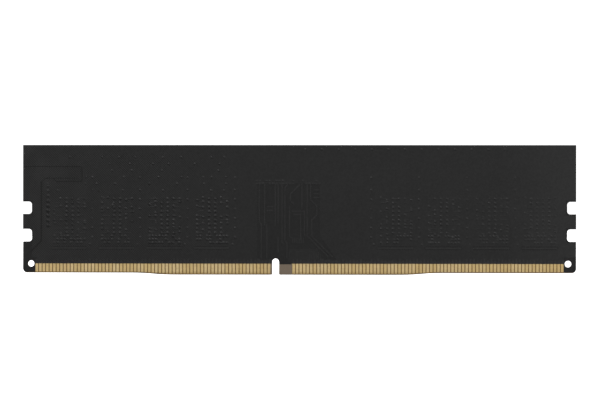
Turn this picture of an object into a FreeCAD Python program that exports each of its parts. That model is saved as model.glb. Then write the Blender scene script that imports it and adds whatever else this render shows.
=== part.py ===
"""A 288-contact memory module: a bare long board with eight memory chips on one face.

The row frame has X along the board, Y through it and Z up, away from the card edge. The origin is
the middle of the card edge: half the board's length, half its thickness, and the lowest point of its
curved lower edge. The plain back face looks towards -Y, and the chips stand on the front, +Y.
"""
import FreeCAD, Part  # noqa: E401

import math
import os

import Sketcher

Vector = FreeCAD.Vector

# ---------------------------------------------------------------------------------- driving sizes
SIZES = [
    # board outline
    ("board_length", 133.35, "overall length of the board"),
    ("board_height", 31.25, "from the lowest point of the card edge to the top edge"),
    ("corner_radius", 1.05, "round on the two lower corners"),
    ("edge_step", 0.45, "how far the card edge rises towards both ends"),
    ("ramp_length", 10.2, "length of the S-shaped rise"),
    ("end_pin", 3.35, "board end to the centre of the outermost contact"),
    ("short_run", 22.95, "outermost contact to the rise, on the side with fewer contacts"),
    ("long_run", 28.9, "outermost contact to the rise, on the side with more contacts"),
    ("edge_bevel", 0.2, "lead-in bevel along the card edge"),
    ("overrun", 1.0, "how far a cut is drawn past the outline"),
    # cut-outs
    ("key_centre", -5.65, "polarising key slot, from the middle of the board"),
    ("key_width", 1.7, "width of the key slot"),
    ("key_depth", 3.9, "top of the key slot above the card edge"),
    ("key_mouth", 0.25, "round at the mouth of the key slot"),
    ("notch_depth", 2.15, "latch notch, into the board end"),
    ("notch_height", 3.0, "latch notch, along the board end"),
    ("notch_low", 9.5, "centre of the lower latch notch"),
    ("notch_high", 16.1, "centre of the upper latch notch"),
    ("notch_round", 0.75, "round in the latch notches"),
    ("hole_radius", 0.78, "tooling hole"),
    ("hole_inset", 1.95, "tooling hole centre from the board end"),
    ("hole_height", 2.65, "tooling hole centre above the card edge"),
    # layers of the board
    ("lamina_outer", 0.44, "each outer glass-epoxy lamina"),
    ("lamina_middle", 0.4, "middle glass-epoxy lamina"),
    ("plane_thick", 0.035, "inner copper planes"),
    ("plane_reach", 63.6, "half the length of the inner copper planes"),
    ("plane_foot", 4.6, "lower edge of the inner copper planes"),
    ("plane_margin", 0.5, "inner copper planes to the top edge"),
    ("copper_thick", 0.035, "outer copper, under the solder mask"),
    ("mask_thick", 0.06, "solder mask, measured over the laminate"),
    ("patch_top", 2.5, "bare laminate beside the key slot"),
    ("mask_end", 63.7, "half the length of the mask opening for the contacts"),
    # contacts
    ("pin_pitch", 0.85, "contact pitch"),
    ("contact_width", 0.62, "contact width"),
    ("contact_thick", 0.045, "plated contact thickness"),
    ("contact_clear", 0.02, "contacts to the lead-in bevel"),
    ("contact_top", 2.65, "upper end of the contacts above the card edge"),
    ("pins_short", 67, "contacts between the key slot and the nearer board end"),
    ("pins_long", 77, "contacts on the other side of the key slot"),
    ("neck_width", 0.12, "copper neck leaving each contact"),
    ("neck_top", 2.95, "upper end of the copper necks"),
    # outer copper of the back face
    ("pour_reach", 66.5, "half the length of the ground pour"),
    ("pour_top", 31.1, "upper edge of the ground pour"),
    ("pour_foot", 3.15, "lower edge of the ground pour"),
    ("notch_margin", 0.35, "ground pour to the latch notches"),
    ("window_left", -10.1, "window in the pour for the command traces"),
    ("window_right", 5.05, "window in the pour for the command traces"),
    ("window_top", 22.0, "window in the pour for the command traces"),
    ("window_foot", 6.2, "lower edge of the window, where no trace runs on to the contacts"),
    ("lane_right", -2.5, "right side of the lane that runs down from the window to the contacts"),
    ("fan_top", 9.5, "where the window starts to widen towards the contacts"),
    ("fan_reach", 10.2, "how far the widening window reaches, a little below the pour"),
    ("hole_margin", 0.8, "ground pour to the tooling holes"),
    ("gap_width", 0.3, "gap that splits the pour"),
    ("gap_wide", 0.5, "the same gap beside the column of termination arrays"),
    ("bus_z", 6.4, "trace that runs along the board under each memory package"),
    ("bus_reach", 4.1, "half the length of that trace"),
    ("bus_width", 0.35, "width of that trace"),
    ("bus_slot", 0.9, "width of its slot in the pour"),
    ("trace_width", 0.16, "command trace width"),
    # memory packages
    ("chip_width", 7.5, "memory package width"),
    ("chip_height", 11.0, "memory package height"),
    ("chip_centre", 13.0, "memory package centre above the card edge"),
    ("chip_first_minus", -21.1, "inner package on the -X side"),
    ("chip_first_plus", 23.2, "inner package on the +X side"),
    ("pitch_minus", 11.5, "from one package to the next on the -X side"),
    ("pitch_plus", 11.55, "from one package to the next on the +X side"),
    ("ball_pitch", 0.8, "solder ball pitch"),
    ("ball_radius", 0.21, "solder ball radius at its waist"),
    ("ball_height", 0.28, "squashed ball height"),
    ("carrier_thick", 0.2, "package carrier thickness"),
    ("mould_thick", 0.6, "moulding over the carrier"),
    ("mould_bevel", 0.08, "bevel round the top of the moulding"),
    ("dimple_radius", 0.3, "first-ball dimple in the moulding"),
    ("dimple_depth", 0.06, "first-ball dimple in the moulding"),
    ("dimple_inset", 0.9, "first-ball dimple from the package sides"),
    ("die_width", 6.2, "silicon die"),
    ("die_height", 8.4, "silicon die"),
    ("die_thick", 0.3, "silicon die"),
    # presence-detect chip
    ("detect_width", 3.0, "presence-detect chip along the board"),
    ("detect_height", 2.0, "presence-detect chip up the board"),
    ("detect_thick", 0.7, "presence-detect chip body"),
    ("detect_x", 1.0, "presence-detect chip centre"),
    ("detect_z", 16.6, "presence-detect chip centre"),
    ("detect_pitch", 0.5, "presence-detect lead pitch"),
    ("lead_width", 0.25, "presence-detect lead width"),
    ("lead_length", 0.45, "presence-detect lead length"),
    ("lead_thick", 0.1, "presence-detect lead thickness"),
    # passive parts: length, width and height of each kind
    ("bypass_length", 1.0, "small capacitor"),
    ("bypass_width", 0.5, "small capacitor"),
    ("bypass_height", 0.5, "small capacitor"),
    ("bulk_length", 1.6, "large capacitor"),
    ("bulk_width", 0.8, "large capacitor"),
    ("bulk_height", 0.8, "large capacitor"),
    ("array_length", 2.0, "resistor array"),
    ("array_width", 1.0, "resistor array"),
    ("array_height", 0.42, "resistor array"),
    ("ceramic_inset", 0.02, "capacitor ceramic inside the faces of its end caps"),
    ("fillet_share", 0.86, "solder fillet width as a share of the part"),
    ("terminal_width", 0.3, "array terminal width"),
    ("terminal_thick", 0.05, "array terminal thickness"),
    ("terminal_reach", 0.24, "array terminal, from the side of the array inwards"),
    ("glaze_inset", 0.06, "array glaze to the ends of its slab"),
    ("array_z", 4.95, "data resistor arrays above the card edge"),
    ("term_x", -60.6, "column of termination arrays"),
    ("term_low", 9.4, "lowest termination array"),
    ("term_pitch", 2.4, "termination array pitch"),
    ("term_count", 6, "termination arrays"),
    ("cap_reach", 0.22, "share of a part's length covered by each end cap"),
    ("solder_rise", 0.6, "solder fillet height as a share of the part"),
    ("solder_reach", 0.22, "solder fillet length past the part"),
    ("solder_film", 0.03, "solder between pad and part"),
]

doc = FreeCAD.newDocument("memory_module")
sheet = doc.addObject("Spreadsheet::Sheet", "Sizes")


def fill_sheet():
    for row, (alias, value, note) in enumerate(SIZES, start=1):
        sheet.set(f"A{row}", alias)
        sheet.set(f"B{row}", str(value))
        sheet.set(f"C{row}", note)
        sheet.setAlias(f"B{row}", alias)
    doc.recompute()


def size(alias):
    """The number in the cell with that alias."""
    return float(sheet.get(alias))


fill_sheet()
SUB_PARTS = []

# Faces of the board, as expressions in the sheet's cells. Y is positive towards the chips.
HALF_LAMINATE = "(Sizes.lamina_middle / 2 + Sizes.lamina_outer)"
FRONT_MASK = f"({HALF_LAMINATE} + Sizes.mask_thick)"
CONTACT_END = "(Sizes.board_length / 2 - Sizes.end_pin)"


def half_laminate():
    return size("lamina_middle") / 2 + size("lamina_outer")


def front_mask():
    """Y of the outer face of the front's solder mask."""
    return half_laminate() + size("mask_thick")


def keep(item, label):
    """Marks an object of the document as a sub-part, whose label names its file."""
    item.Label = label
    SUB_PARTS.append(item)
    return item


# ------------------------------------------------------------------------------- sketch functions
def sketch_on(body, name, near_y="0"):
    """A sketch parallel to XZ, its X and Y along the row's X and Z, at that Y."""
    sketch = body.newObject("Sketcher::SketchObject", name)
    plane = [f for f in body.Origin.OriginFeatures if f.Role == "XZ_Plane"][0]
    sketch.AttachmentSupport = [(plane, "")]
    sketch.MapMode = "FlatFace"
    sketch.setExpression("AttachmentOffset.Base.z", f"-({near_y})")
    return sketch


def value_of(expression):
    """An expression's number, for the first guess that the sketch solver starts from."""
    text = expression.replace("Sizes.", "")
    names = sorted((alias for alias, _, _ in SIZES), key=len, reverse=True)
    for alias in names:
        text = text.replace(alias, repr(size(alias)))
    total = FreeCAD.Units.parseQuantity(text)
    return total.Value


def tie(sketch, kind, where, expression):
    """A sketch dimension held by an expression."""
    index = sketch.addConstraint(Sketcher.Constraint(kind, *where, value_of(expression)))
    sketch.setExpression(f"Constraints[{index}]", expression)


def place_point(sketch, geometry, corner, x, z):
    """Ties a point of the sketch to the origin by two expressions."""
    tie(sketch, "DistanceX", (-1, 1, geometry, corner), x)
    tie(sketch, "DistanceY", (-1, 1, geometry, corner), z)


def rectangle(sketch, left, low, right, high):
    """A rectangle whose four sides are expressions."""
    x0, z0, x1, z1 = (value_of(e) for e in (left, low, right, high))
    corners = [(x0, z0), (x1, z0), (x1, z1), (x0, z1)]
    first = sketch.GeometryCount
    for number in range(4):
        start = Vector(*corners[number], 0)
        end = Vector(*corners[(number + 1) % 4], 0)
        sketch.addGeometry(Part.LineSegment(start, end), False)
    for number in range(4):
        following = first + (number + 1) % 4
        sketch.addConstraint(Sketcher.Constraint("Coincident", first + number, 2, following, 1))
    for number, kind in enumerate(("Horizontal", "Vertical", "Horizontal", "Vertical")):
        sketch.addConstraint(Sketcher.Constraint(kind, first + number))
    place_point(sketch, first, 1, left, low)
    place_point(sketch, first + 2, 1, right, high)


def circle(sketch, x, z, radius):
    centre = Vector(value_of(x), value_of(z), 0)
    ring = Part.Circle(centre, Vector(0, 0, 1), value_of(radius))
    index = sketch.addGeometry(ring, False)
    place_point(sketch, index, 3, x, z)
    tie(sketch, "Radius", (index,), radius)


def pad(body, sketch, thick):
    """Raises the sketch towards +Y."""
    feature = body.newObject("PartDesign::Pad", "Pad")
    feature.Profile = sketch
    feature.Reversed = True
    feature.setExpression("Length", thick)
    sketch.Visibility = False
    return feature


def pocket(body, sketch, depth=None, towards_front=True):
    """Cuts the sketch towards +Y or -Y, by a depth or through everything."""
    before = body.Shape.Volume
    feature = body.newObject("PartDesign::Pocket", "Pocket")
    feature.Profile = sketch
    feature.Reversed = not towards_front
    if depth is None:
        feature.Type = "ThroughAll"
    else:
        feature.setExpression("Length", depth)
    doc.recompute()
    if body.Shape.Volume >= before - 1e-6:
        feature.Reversed = towards_front
        doc.recompute()
    if body.Shape.Volume >= before - 1e-6:
        raise RuntimeError(f"{sketch.Label} of {body.Label} cuts nothing")
    return feature


def edges_where(shape, test):
    """The names of the edges whose bounding box passes the test."""
    return [f"Edge{n}" for n, edge in enumerate(shape.Edges, start=1) if test(edge.BoundBox)]


def dress(body, kind, amount, test):
    """A fillet or chamfer on the edges that pass the test."""
    doc.recompute()
    names = edges_where(body.Shape, test)
    if not names:
        raise RuntimeError(f"no edge of {body.Label} for its {kind}")
    tip = body.Tip
    feature = body.newObject(f"PartDesign::{kind}", kind)
    feature.Base = (tip, names)
    feature.setExpression("Radius" if kind == "Fillet" else "Size", amount)
    doc.recompute()
    return feature


# ---------------------------------------------------------------------------------- board outline
def rise(body, name, run, side, near_y):
    """The region under the raised end of the card edge: a flat, then an S made of two equal arcs.

    side is -1 or +1, the board end that it belongs to. run is the flat's length past the outermost
    contact.
    """
    sketch = sketch_on(body, name, near_y)
    step, length = size("edge_step"), size("ramp_length")
    flat_end = side * (value_of(CONTACT_END) - size(run))
    foot = flat_end - side * length
    outside = side * (size("board_length") / 2 + size("overrun"))
    radius = (length**2 + step**2) / (4 * step)
    sweep = math.asin(length / 2 / radius)
    down, up = -math.pi / 2, math.pi / 2
    upper_centre = Vector(flat_end, step - radius, 0)
    lower_centre = Vector(foot, radius, 0)
    axis = Vector(0, 0, 1)
    if side < 0:
        upper = Part.ArcOfCircle(Part.Circle(upper_centre, axis, radius), up - sweep, up)
        lower = Part.ArcOfCircle(Part.Circle(lower_centre, axis, radius), down - sweep, down)
    else:
        upper = Part.ArcOfCircle(Part.Circle(upper_centre, axis, radius), up, up + sweep)
        lower = Part.ArcOfCircle(Part.Circle(lower_centre, axis, radius), down, down + sweep)
    flat_point, foot_point = Vector(flat_end, step, 0), Vector(foot, 0, 0)
    below = -size("overrun")
    outline = [
        Part.LineSegment(Vector(outside, below, 0), Vector(outside, step, 0)),
        Part.LineSegment(Vector(outside, step, 0), flat_point),
        upper,
        lower,
        Part.LineSegment(foot_point, Vector(foot, below, 0)),
        Part.LineSegment(Vector(foot, below, 0), Vector(outside, below, 0)),
    ]
    for piece in outline:
        sketch.addGeometry(piece, False)
    # An arc's start is where it begins anticlockwise, so the ends swap from one side to the other.
    outer_end, inner_end = (2, 1) if side < 0 else (1, 2)
    joins = [
        (0, 2, 1, 1),
        (1, 2, 2, outer_end),
        (2, inner_end, 3, 1 if side < 0 else 2),
        (3, 2 if side < 0 else 1, 4, 1),
        (4, 2, 5, 1),
        (5, 2, 0, 1),
    ]
    for join in joins:
        sketch.addConstraint(Sketcher.Constraint("Coincident", *join))
    for index in (0, 4):
        sketch.addConstraint(Sketcher.Constraint("Vertical", index))
    for index in (1, 5):
        sketch.addConstraint(Sketcher.Constraint("Horizontal", index))
    sketch.addConstraint(Sketcher.Constraint("Equal", 2, 3))
    flat_x = f"{side} * ({CONTACT_END} - Sizes.{run})"
    foot_x = f"{flat_x} - {side} * Sizes.ramp_length"
    place_point(sketch, 1, 2, flat_x, "Sizes.edge_step")
    place_point(sketch, 4, 1, foot_x, "0")
    place_point(sketch, 0, 1, f"{side} * (Sizes.board_length / 2 + Sizes.overrun)", "-Sizes.overrun")
    sketch.addConstraint(Sketcher.Constraint("DistanceX", 2, 3, 1, 2, 0.0))
    sketch.addConstraint(Sketcher.Constraint("DistanceX", 3, 3, 4, 1, 0.0))
    return sketch


def key_slot(body, near_y):
    """The polarising slot: straight walls under a half-round top."""
    sketch = sketch_on(body, "key_slot", near_y)
    centre, half = size("key_centre"), size("key_width") / 2
    spring = size("key_depth") - half
    left, right = centre - half, centre + half
    below = -size("overrun")
    arc = Part.ArcOfCircle(Part.Circle(Vector(centre, spring, 0), Vector(0, 0, 1), half), 0, math.pi)
    sketch.addGeometry(Part.LineSegment(Vector(left, below, 0), Vector(right, below, 0)), False)
    sketch.addGeometry(Part.LineSegment(Vector(right, below, 0), Vector(right, spring, 0)), False)
    sketch.addGeometry(arc, False)
    sketch.addGeometry(Part.LineSegment(Vector(left, spring, 0), Vector(left, below, 0)), False)
    for join in ((0, 2, 1, 1), (3, 2, 0, 1)):
        sketch.addConstraint(Sketcher.Constraint("Coincident", *join))
    for join in ((1, 2, 2, 1), (2, 2, 3, 1)):
        sketch.addConstraint(Sketcher.Constraint("Tangent", *join))
    sketch.addConstraint(Sketcher.Constraint("Horizontal", 0))
    sketch.addConstraint(Sketcher.Constraint("Vertical", 1))
    place_point(sketch, 2, 3, "Sizes.key_centre", "Sizes.key_depth - Sizes.key_width / 2")
    tie(sketch, "Radius", (2,), "Sizes.key_width / 2")
    tie(sketch, "DistanceY", (-1, 1, 0, 1), "-Sizes.overrun")
    return sketch


def notches(body, near_y, margin="0"):
    """Four latch notches, two at each end of the board."""
    sketch = sketch_on(body, "latch_notches", near_y)
    inner = f"(Sizes.board_length / 2 - Sizes.notch_depth - {margin})"
    outer = "(Sizes.board_length / 2 + Sizes.overrun)"
    for centre in ("Sizes.notch_low", "Sizes.notch_high"):
        low = f"{centre} - Sizes.notch_height / 2 - {margin}"
        high = f"{centre} + Sizes.notch_height / 2 + {margin}"
        rectangle(sketch, f"-{outer}", low, f"-{inner}", high)
        rectangle(sketch, inner, low, outer, high)
    return sketch


def tooling_holes(body, near_y):
    sketch = sketch_on(body, "tooling_holes", near_y)
    for side in ("-1", "1"):
        x = f"{side} * (Sizes.board_length / 2 - Sizes.hole_inset)"
        circle(sketch, x, "Sizes.hole_height", "Sizes.hole_radius")
    return sketch


def is_vertical_pin(box):
    """True for an edge that runs straight through the board, along Y."""
    return box.XLength < 1e-6 and box.ZLength < 1e-6


def round_corners(body):
    """Rounds in the latch notches, at the lower corners and at the mouth of the key slot."""
    half = size("board_length") / 2
    wall = half - size("notch_depth")
    key = size("key_centre")
    reach = size("key_width")

    def in_notch(box):
        return is_vertical_pin(box) and abs(abs(box.XMin) - wall) < 1e-6 and box.ZMin > 5

    def at_corner(box):
        return is_vertical_pin(box) and abs(abs(box.XMin) - half) < 1e-6 and box.ZMin < 1

    def at_mouth(box):
        return is_vertical_pin(box) and abs(box.XMin - key) < reach and box.ZMin < 1

    dress(body, "Fillet", "Sizes.notch_round", in_notch)
    dress(body, "Fillet", "Sizes.corner_radius", at_corner)
    dress(body, "Fillet", "Sizes.key_mouth", at_mouth)


def board_sheet(label, near_y, thick, bevel_y=None, strip=False):
    """One layer with the board's outline, whose -Y face is at near_y.

    bevel_y is the Y of the face that carries the lead-in bevel. strip cuts away the lower strip where
    the contacts lie, which leaves solder mask at the two ends.
    """
    body = doc.addObject("PartDesign::Body", label)
    outline = sketch_on(body, "outline", near_y)
    rectangle(
        outline, "-Sizes.board_length / 2", "0", "Sizes.board_length / 2", "Sizes.board_height"
    )
    pad(body, outline, thick)
    doc.recompute()
    pocket(body, rise(body, "rise_minus", "short_run", -1, near_y))
    pocket(body, rise(body, "rise_plus", "long_run", 1, near_y))
    pocket(body, notches(body, near_y))
    pocket(body, key_slot(body, near_y))
    pocket(body, tooling_holes(body, near_y))
    if bevel_y is not None:
        face_y = value_of(bevel_y)
        step = size("edge_step")

        def on_card_edge(box):
            flat = abs(box.YMin - face_y) < 1e-6 and abs(box.YMax - face_y) < 1e-6
            return flat and box.ZMax < step + 1e-3 and box.XLength > 1

        dress(body, "Chamfer", "Sizes.edge_bevel", on_card_edge)
    round_corners(body)
    if strip:
        opening = sketch_on(body, "contact_opening", near_y)
        foot_of_ends = "Sizes.edge_step + Sizes.edge_bevel"
        left = "Sizes.key_centre + Sizes.key_width / 2"
        right = f"{CONTACT_END} - Sizes.pins_long * Sizes.pin_pitch + Sizes.contact_width / 2"
        rectangle(opening, "-Sizes.mask_end", "-Sizes.overrun", left, "Sizes.contact_top")
        pocket(body, opening)
        patch = sketch_on(body, "bare_patch", near_y)
        rectangle(patch, left, "-Sizes.overrun", right, "Sizes.patch_top")
        pocket(body, patch)
        rest = sketch_on(body, "long_row_opening", near_y)
        rectangle(rest, right, "-Sizes.overrun", "Sizes.mask_end", "Sizes.contact_top")
        pocket(body, rest)
        ends = sketch_on(body, "bevel_clearance", near_y)
        edge = "(Sizes.board_length / 2 + Sizes.overrun)"
        rectangle(ends, f"-{edge}", "-Sizes.overrun", "-Sizes.mask_end", foot_of_ends)
        rectangle(ends, "Sizes.mask_end", "-Sizes.overrun", edge, foot_of_ends)
        pocket(body, ends)
    doc.recompute()
    return body


def plane_outline(sketch):
    rectangle(
        sketch,
        "-Sizes.plane_reach",
        "Sizes.plane_foot",
        "Sizes.plane_reach",
        "Sizes.board_height - Sizes.plane_margin",
    )


def laminate():
    """Three glass-epoxy laminae, and the two copper planes let into the middle one."""
    middle_half = "Sizes.lamina_middle / 2"
    back_face = f"-{HALF_LAMINATE}"
    keep(board_sheet("laminate_back", back_face, "Sizes.lamina_outer", back_face), "laminate_back")
    front = board_sheet("laminate_front", middle_half, "Sizes.lamina_outer", HALF_LAMINATE)
    keep(front, "laminate_front")
    middle = board_sheet("laminate_middle", f"-{middle_half}", "Sizes.lamina_middle")
    recesses = {
        "ground_plane": f"-{middle_half}",
        "power_plane": f"{middle_half} - Sizes.plane_thick",
    }
    for label, near_y in recesses.items():
        sketch = sketch_on(middle, f"{label}_recess", near_y)
        plane_outline(sketch)
        before = middle.Shape.Volume
        cut = middle.newObject("PartDesign::Pocket", "Recess")
        cut.Profile = sketch
        cut.Reversed = True
        cut.setExpression("Length", "Sizes.plane_thick")
        doc.recompute()
        if middle.Shape.Volume >= before:
            cut.Reversed = False
            doc.recompute()
        plane = doc.addObject("PartDesign::Body", label)
        outline = sketch_on(plane, "outline", near_y)
        plane_outline(outline)
        pad(plane, outline, "Sizes.plane_thick")
        keep(plane, label)
    keep(middle, "laminate_middle")


# ----------------------------------------------------------------------------------- outer copper
def bar(start, end, width, near_y, thick):
    """A straight strip of copper with round ends, from start to end in X and Z."""
    (x0, z0), (x1, z1) = start, end
    length = math.hypot(x1 - x0, z1 - z0)
    slope = math.degrees(math.atan2(z1 - z0, x1 - x0))
    strip = Part.makeBox(length, thick, width, Vector(0, 0, -width / 2))
    strip.rotate(Vector(0, 0, 0), Vector(0, 1, 0), -slope)
    strip.translate(Vector(x0, near_y, z0))
    pieces = [strip]
    for x, z in (start, end):
        pieces.append(Part.makeCylinder(width / 2, thick, Vector(x, near_y, z), Vector(0, 1, 0)))
    return pieces


def path(points, width, near_y, thick):
    """One solid along a route of straight runs."""
    pieces = []
    for start, end in zip(points, points[1:]):
        pieces += bar(start, end, width, near_y, thick)
    return pieces[0].fuse(pieces[1:]).removeSplitter()


def pour_gaps():
    """Where the pour is split, each a list of X and Z and a width.

    The gap runs along the top and round a tab, whose lower side has a second one, and then, wider, down
    the column of terminations. A trace lies in a slot of its own under each memory package.
    """
    tab = [
        (-67.5, 26.0),
        (-52.8, 26.0),
        (-52.4, 25.6),
        (-52.4, 22.8),
        (-52.8, 22.4),
        (-58.6, 22.4),
        (-59.4, 23.2),
        (-61.2, 23.2),
        (-62.25, 22.15),
    ]
    tab_side = [(-59.4, 23.2), (-53.6, 23.2)]
    column = [(-62.25, 22.15), (-62.25, 8.1), (-65.2, 5.15)]
    narrow, wide = size("gap_width"), size("gap_wide")
    slots = [(route, size("bus_slot")) for route in bus_routes()]
    return [(tab, narrow), (tab_side, narrow), (column, wide), *slots]


def bus_routes():
    """The trace along the board under each memory package, as X and Z of its ends."""
    reach, z = size("bus_reach"), size("bus_z")
    return [[(x - reach, z), (x + reach, z)] for x in chip_centres()]


def command_routes():
    """The command traces in the window of the back pour, each a list of X and Z."""
    return [
        [(-9.6, 21.8), (-9.6, 12.8), (-9.1, 12.3), (-9.1, 4.1)],
        [(-8.3, 21.8), (-8.3, 12.0)],
        [(-7.75, 12.0), (-7.75, 4.1)],
        [(-7.6, 16.4), (-6.4, 16.4)],
        [(-7.6, 15.5), (-6.4, 15.5)],
        [(-5.75, 21.8), (-5.75, 11.8)],
        [(-5.05, 21.8), (-5.05, 12.4)],
        [(-5.05, 9.0), (-5.05, 5.4)],
        [(-4.1, 21.8), (-4.1, 7.9), (-3.7, 7.5)],
        [(-2.8, 21.6), (-3.4, 21.0), (-3.4, 8.2), (-2.9, 7.7), (-2.9, 4.1)],
        [(0.1, 21.6), (-2.1, 19.4), (-2.1, 17.9), (-1.3, 17.1)],
        [(-2.3, 16.4), (-2.3, 9.3), (-1.9, 8.9)],
        [(0.7, 21.8), (0.7, 16.0)],
        [(-1.6, 15.3), (1.3, 15.3), (1.3, 9.6)],
        [(-1.3, 14.5), (0.4, 14.5), (0.4, 8.4)],
        [(1.95, 21.8), (1.95, 9.4), (6.95, 4.4)],
        [(2.8, 21.8), (2.8, 18.1), (4.3, 16.6), (4.3, 14.4), (3.1, 13.2), (3.1, 9.3), (8.0, 4.4)],
        [(3.6, 20.4), (4.7, 20.4)],
        [(3.6, 19.5), (4.7, 19.5)],
        [(3.6, 18.6), (4.7, 18.6)],
    ]


def pour_cut_outs():
    """What is cut out of the pour besides its window and its gap, each piece a list of X and Z.

    The window widens where its traces fan out, the corner under the latch notch is bare, and both
    tooling holes are cleared.
    """
    foot = size("pour_foot") - size("overrun")
    window, fan_top = size("window_right"), size("fan_top")
    inside = window - size("overrun") / 2
    end = size("board_length") / 2 + size("overrun")
    notch = size("board_length") / 2 - size("notch_depth")
    notch_middle = size("notch_low")
    cut_outs = [
        [(inside, fan_top), (inside, foot), (size("fan_reach"), foot), (window, fan_top)],
        [(-notch, notch_middle), (-notch, foot), (-end, foot), (-end, notch_middle)],
    ]
    opening = size("mask_end") - size("notch_margin")
    crown = size("hole_height") + size("hole_radius") + size("hole_margin")
    for side in (-1, 1):
        corners = [(opening, foot), (opening, crown), (end, crown), (end, foot)]
        cut_outs.append([(side * x, z) for x, z in corners])
    return cut_outs


def back_copper():
    """The ground pour of the back face, with its window and its gap, and the command traces."""
    near_y = -half_laminate() - size("copper_thick")
    thick = size("copper_thick")
    face = f"-({HALF_LAMINATE} + Sizes.copper_thick)"
    slab = doc.addObject("PartDesign::Body", "pour_slab")
    outline = sketch_on(slab, "outline", face)
    rectangle(
        outline, "-Sizes.pour_reach", "Sizes.pour_foot", "Sizes.pour_reach", "Sizes.pour_top"
    )
    pad(slab, outline, "Sizes.copper_thick")
    doc.recompute()
    pocket(slab, notches(slab, face, "Sizes.notch_margin"))
    window = sketch_on(slab, "window", face)
    rectangle(
        window, "Sizes.window_left", "Sizes.window_foot", "Sizes.window_right", "Sizes.window_top"
    )
    pocket(slab, window)
    lane = sketch_on(slab, "lane", face)
    rectangle(
        lane, "Sizes.window_left", "0", "Sizes.lane_right", "Sizes.window_foot + Sizes.overrun"
    )
    pocket(slab, lane)
    cuts = [path(route, width, near_y - thick, 3 * thick) for route, width in pour_gaps()]
    for cut_out in pour_cut_outs():
        corners = [Vector(x, near_y - thick, z) for x, z in cut_out]
        sheet_face = Part.Face(Part.makePolygon(corners + corners[:1]))
        cuts.append(sheet_face.extrude(Vector(0, 3 * thick, 0)))
    tool = doc.addObject("Part::Feature", "pour_cuts")
    tool.Shape = cuts[0].fuse(cuts[1:])
    pour = doc.addObject("Part::Cut", "pour_back")
    pour.Base = slab
    pour.Tool = tool
    keep(pour, "ground_pour_back")
    traces = [path(route, size("trace_width"), near_y, thick) for route in command_routes()]
    traces += [path(route, size("bus_width"), near_y, thick) for route in bus_routes()]
    copper = doc.addObject("Part::Feature", "command_traces_back")
    copper.Shape = Part.makeCompound(traces)
    keep(copper, "command_traces_back")
    return [pour, copper]


# --------------------------------------------------------------------------------------- contacts
def edge_height(x):
    """Height of the curved card edge above its lowest point, at that X."""
    side = -1 if x < 0 else 1
    run = size("short_run") if side < 0 else size("long_run")
    flat_end = size("board_length") / 2 - size("end_pin") - run
    foot = flat_end - size("ramp_length")
    step, length = size("edge_step"), size("ramp_length")
    radius = (length**2 + step**2) / (4 * step)
    along = min(max(abs(x) - foot, 0.0), length)
    if along <= length / 2:
        return radius - math.sqrt(radius**2 - along**2)
    return step - radius + math.sqrt(radius**2 - (length - along) ** 2)


def contact_centres(row):
    """The X of each contact in the row on the -X or the +X side of the key slot."""
    outermost = size("board_length") / 2 - size("end_pin")
    pitch = size("pin_pitch")
    if row == "minus":
        return [-outermost + number * pitch for number in range(int(size("pins_short")))]
    return [outermost - number * pitch for number in range(int(size("pins_long")))]


def contact_rows():
    """Four rows of plated contacts, two on each face, and the copper necks that leave them."""
    laminate_face, thick = half_laminate(), size("contact_thick")
    copper = size("copper_thick")
    necks = {}
    for face, direction in (("back", -1), ("front", 1)):
        near_y = laminate_face if direction > 0 else -laminate_face - thick
        neck_y = laminate_face if direction > 0 else -laminate_face - copper
        necks[face] = []
        for row in ("minus", "plus"):
            pads = []
            for x in contact_centres(row):
                low = edge_height(x) + size("edge_bevel") + size("contact_clear")
                width, height = size("contact_width"), size("contact_top") - low
                corner = Vector(x - width / 2, near_y, low)
                pads.append(Part.makeBox(width, thick, height, corner))
                neck = size("neck_width")
                foot = Vector(x - neck / 2, neck_y, size("contact_top"))
                rise_by = size("neck_top") - size("contact_top")
                necks[face].append(Part.makeBox(neck, copper, rise_by, foot))
            item = doc.addObject("Part::Feature", f"contacts_{face}_{row}")
            item.Shape = Part.makeCompound(pads)
            keep(item, f"contacts_{face}_{row}")
    made = []
    for face, strips in necks.items():
        item = doc.addObject("Part::Feature", f"contact_necks_{face}")
        item.Shape = Part.makeCompound(strips)
        made.append(keep(item, f"contact_necks_{face}"))
    return made


def solder_masks(back_parts, front_parts):
    """Solder mask on both faces, let down over the copper that it covers."""
    for label, near_y, covered in (
        ("solder_mask_back", f"-{FRONT_MASK}", back_parts),
        ("solder_mask_front", HALF_LAMINATE, front_parts),
    ):
        blank = board_sheet(f"{label}_blank", near_y, "Sizes.mask_thick", strip=True)
        doc.recompute()
        copper = doc.addObject("Part::Compound", f"{label}_copper")
        copper.Links = covered
        mask = doc.addObject("Part::Cut", label)
        mask.Base = blank
        mask.Tool = copper
        keep(mask, label)


# -------------------------------------------------------------------------------- memory packages
def chip_centres():
    """The X of the eight packages, from the -X end of the board to the +X end."""
    minus = [size("chip_first_minus") - n * size("pitch_minus") for n in range(4)]
    plus = [size("chip_first_plus") + n * size("pitch_plus") for n in range(4)]
    return sorted(minus) + plus


def chip_centre_expression(number):
    """The sheet expression for the X of package 1 to 8, counted from the -X end."""
    if number <= 4:
        return f"Sizes.chip_first_minus - {4 - number} * Sizes.pitch_minus"
    return f"Sizes.chip_first_plus + {number - 5} * Sizes.pitch_plus"


def put(item, x, y, z):
    """Places an object by three expressions."""
    item.setExpression(".Placement.Base.x", x)
    item.setExpression(".Placement.Base.y", y)
    item.setExpression(".Placement.Base.z", z)


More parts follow.
